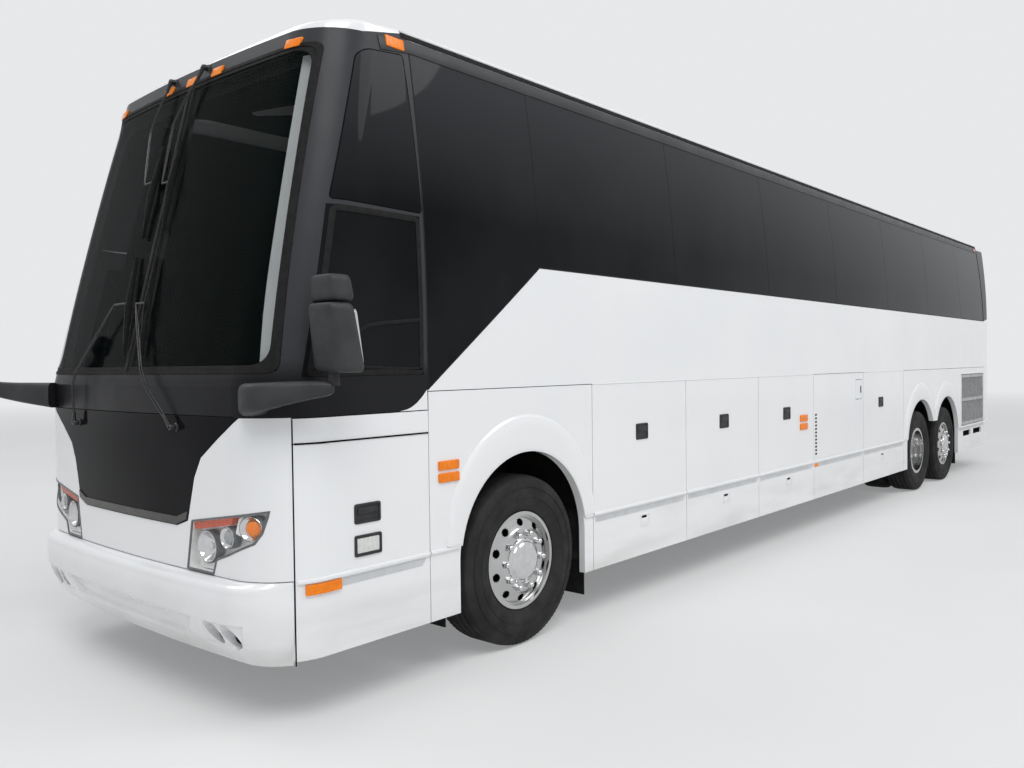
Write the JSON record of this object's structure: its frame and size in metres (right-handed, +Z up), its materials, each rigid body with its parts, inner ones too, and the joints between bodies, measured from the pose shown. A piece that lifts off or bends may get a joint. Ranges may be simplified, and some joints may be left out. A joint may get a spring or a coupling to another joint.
{
  "type": "highway coach bus",
  "caption": "Long high-floor coach with raked windshield, dark side glass, lift-up luggage doors, steered front wheels, twin drive wheels and a tag axle.",
  "frame": {"origin": "ground level, midway between the outermost points left to right and front to rear, mirrors included", "axes": "+Z up, the front faces -Y, +X is the driver's (left) side"},
  "size_m": [3.19, 14.045, 3.71],
  "materials": {
    "body_paint": "gloss white paint",
    "dark_cap": "satin dark grey",
    "black_panel": "gloss black",
    "glass": "dark tinted glass",
    "clear_glass": "clear glass",
    "lamp_bezel": "bright reflector",
    "amber_lens": "amber lens",
    "red_lens": "red lens",
    "black_plastic": "satin black",
    "flap_rubber": "black rubber",
    "chassis": "black chassis paint",
    "sheet": "grey primer",
    "floor": "grey floor covering",
    "engine": "rough",
    "axle": "painted",
    "trim": "grained",
    "seat": "woven",
    "rack": "light grey",
    "tyre": "rubber",
    "wheel": "polished"
  },
  "bodies": {
    "coach": {"roof_shell": "body_paint", "side_walls": "body_paint", "skirts": "body_paint", "nose_panel": "body_paint", "front_bumper": "body_paint", "rear_cap": "body_paint", "rear_bumper": "body_paint", "front_cap": "dark_cap", "nose_mask": "black_panel", "side_glass": "glass", "rear_window": "glass", "windshield": "clear_glass", "headlamps": "lamp_bezel", "amber_lamps": "amber_lens", "tail_lamps": "red_lens", "mirrors": "black_plastic", "wipers": "black_plastic", "mud_flaps": "flap_rubber", "underframe": "chassis", "bulkheads": "sheet", "wheel_housings": "sheet", "bay_floor": "sheet", "floor_deck": "floor", "engine_block": "engine", "front_axle": "axle", "rear_axles": "axle", "dashboard": "trim", "driver_seat": "seat", "passenger_seats": "seat", "parcel_racks": "rack"},
    "knuckle_left_body": {"knuckle_left": "axle"},
    "front_wheel_left": {"front_tyre_left": "tyre", "front_rim_left": "wheel"},
    "drive_wheels_left": {"drive_tyres_left": "tyre", "drive_rims_left": "wheel"},
    "tag_wheel_left": {"tag_tyre_left": "tyre", "tag_rim_left": "wheel"},
    "bay_door_left_1_body": {"bay_door_left_1": "body_paint"},
    "bay_door_left_2_body": {"bay_door_left_2": "body_paint"},
    "bay_door_left_3_body": {"bay_door_left_3": "body_paint"},
    "rear_bay_door_left_body": {"rear_bay_door_left": "body_paint"},
    "radiator_door_left_body": {"radiator_door_left": "black_plastic"},
    "knuckle_right_body": {"knuckle_right": "axle"},
    "front_wheel_right": {"front_tyre_right": "tyre", "front_rim_right": "wheel"},
    "drive_wheels_right": {"drive_tyres_right": "tyre", "drive_rims_right": "wheel"},
    "tag_wheel_right": {"tag_tyre_right": "tyre", "tag_rim_right": "wheel"},
    "bay_door_right_1_body": {"bay_door_right_1": "body_paint"},
    "bay_door_right_2_body": {"bay_door_right_2": "body_paint"},
    "bay_door_right_3_body": {"bay_door_right_3": "body_paint"},
    "rear_bay_door_right_body": {"rear_bay_door_right": "body_paint"},
    "radiator_door_right_body": {"radiator_door_right": "black_plastic"},
    "steering_wheel_body": {"steering_wheel": "black_plastic"},
    "entry_door_body": {"entry_door": "dark_cap", "entry_door_glass": "glass"},
    "service_door_body": {"service_door": "body_paint"},
    "filler_flap_body": {"filler_flap": "body_paint"},
    "engine_door_body": {"engine_door": "body_paint"}
  },
  "joints": [
    {"name": "steer_left", "type": "hinge", "parent": "coach", "child": "knuckle_left_body", "pos_m": [0.88, -4.843, 0.52], "axis": [0, 0, 1], "range_deg": [-45, 45]},
    {"name": "front_wheel_spin_left", "type": "hinge", "parent": "knuckle_left_body", "child": "front_wheel_left", "pos_m": [1.117, -4.843, 0.52], "axis": [1, 0, 0], "continuous": true},
    {"name": "drive_wheel_spin_left", "type": "hinge", "parent": "coach", "child": "drive_wheels_left", "pos_m": [0.942, 3.183, 0.52], "axis": [1, 0, 0], "continuous": true},
    {"name": "tag_wheel_spin_left", "type": "hinge", "parent": "coach", "child": "tag_wheel_left", "pos_m": [1.117, 4.403, 0.52], "axis": [1, 0, 0], "continuous": true},
    {"name": "bay_door_lift_left_1", "type": "hinge", "parent": "coach", "child": "bay_door_left_1_body", "pos_m": [1.295, -3.541, 1.58], "axis": [0, -1, 0], "range_deg": [0, 90]},
    {"name": "bay_door_lift_left_2", "type": "hinge", "parent": "coach", "child": "bay_door_left_2_body", "pos_m": [1.295, -2.284, 1.58], "axis": [0, -1, 0], "range_deg": [0, 90]},
    {"name": "bay_door_lift_left_3", "type": "hinge", "parent": "coach", "child": "bay_door_left_3_body", "pos_m": [1.295, -1.0215, 1.58], "axis": [0, -1, 0], "range_deg": [0, 90]},
    {"name": "rear_bay_door_lift_left", "type": "hinge", "parent": "coach", "child": "rear_bay_door_left_body", "pos_m": [1.295, 1.731, 1.58], "axis": [0, -1, 0], "range_deg": [0, 90]},
    {"name": "radiator_door_swing_left", "type": "hinge", "parent": "coach", "child": "radiator_door_left_body", "pos_m": [1.295, 5.175, 1.104], "axis": [0, 0, -1], "range_deg": [0, 100]},
    {"name": "steer_right", "type": "hinge", "parent": "coach", "child": "knuckle_right_body", "pos_m": [-0.88, -4.843, 0.52], "axis": [0, 0, 1], "range_deg": [-45, 45]},
    {"name": "front_wheel_spin_right", "type": "hinge", "parent": "knuckle_right_body", "child": "front_wheel_right", "pos_m": [-1.117, -4.843, 0.52], "axis": [1, 0, 0], "continuous": true},
    {"name": "drive_wheel_spin_right", "type": "hinge", "parent": "coach", "child": "drive_wheels_right", "pos_m": [-0.942, 3.183, 0.52], "axis": [1, 0, 0], "continuous": true},
    {"name": "tag_wheel_spin_right", "type": "hinge", "parent": "coach", "child": "tag_wheel_right", "pos_m": [-1.117, 4.403, 0.52], "axis": [1, 0, 0], "continuous": true},
    {"name": "bay_door_lift_right_1", "type": "hinge", "parent": "coach", "child": "bay_door_right_1_body", "pos_m": [-1.295, -3.541, 1.58], "axis": [0, 1, 0], "range_deg": [0, 90]},
    {"name": "bay_door_lift_right_2", "type": "hinge", "parent": "coach", "child": "bay_door_right_2_body", "pos_m": [-1.295, -2.284, 1.58], "axis": [0, 1, 0], "range_deg": [0, 90]},
    {"name": "bay_door_lift_right_3", "type": "hinge", "parent": "coach", "child": "bay_door_right_3_body", "pos_m": [-1.295, -1.0215, 1.58], "axis": [0, 1, 0], "range_deg": [0, 90]},
    {"name": "rear_bay_door_lift_right", "type": "hinge", "parent": "coach", "child": "rear_bay_door_right_body", "pos_m": [-1.295, 1.731, 1.58], "axis": [0, 1, 0], "range_deg": [0, 90]},
    {"name": "radiator_door_swing_right", "type": "hinge", "parent": "coach", "child": "radiator_door_right_body", "pos_m": [-1.295, 5.175, 1.104], "axis": [0, 0, 1], "range_deg": [0, 100]},
    {"name": "steering_turn", "type": "hinge", "parent": "coach", "child": "steering_wheel_body", "pos_m": [0.62, -5.973, 1.9], "axis": [0, 0.5736, 0.8192], "range_deg": [-900, 900]},
    {"name": "entry_door_swing", "type": "hinge", "parent": "coach", "child": "entry_door_body", "pos_m": [-1.2534, -6.489, 1.2], "axis": [0, 0, 1], "range_deg": [0, 90]},
    {"name": "service_door_lift", "type": "hinge", "parent": "coach", "child": "service_door_body", "pos_m": [1.295, -6.073, 1.357], "axis": [0, -1, 0], "range_deg": [0, 90]},
    {"name": "filler_flap_swing", "type": "hinge", "parent": "coach", "child": "filler_flap_body", "pos_m": [1.295, 0.776, 1.394], "axis": [0, 0, -1], "range_deg": [0, 120]},
    {"name": "engine_door_lift", "type": "hinge", "parent": "coach", "child": "engine_door_body", "pos_m": [0, 6.963, 1.904], "axis": [1, 0, 0], "range_deg": [0, 80]}
  ],
  "couplings": [
    {"joint": "steer_right", "follows": "steer_left", "ratio": 1},
    {"joint": "steering_turn", "follows": "steer_left", "ratio": 20}
  ]
}
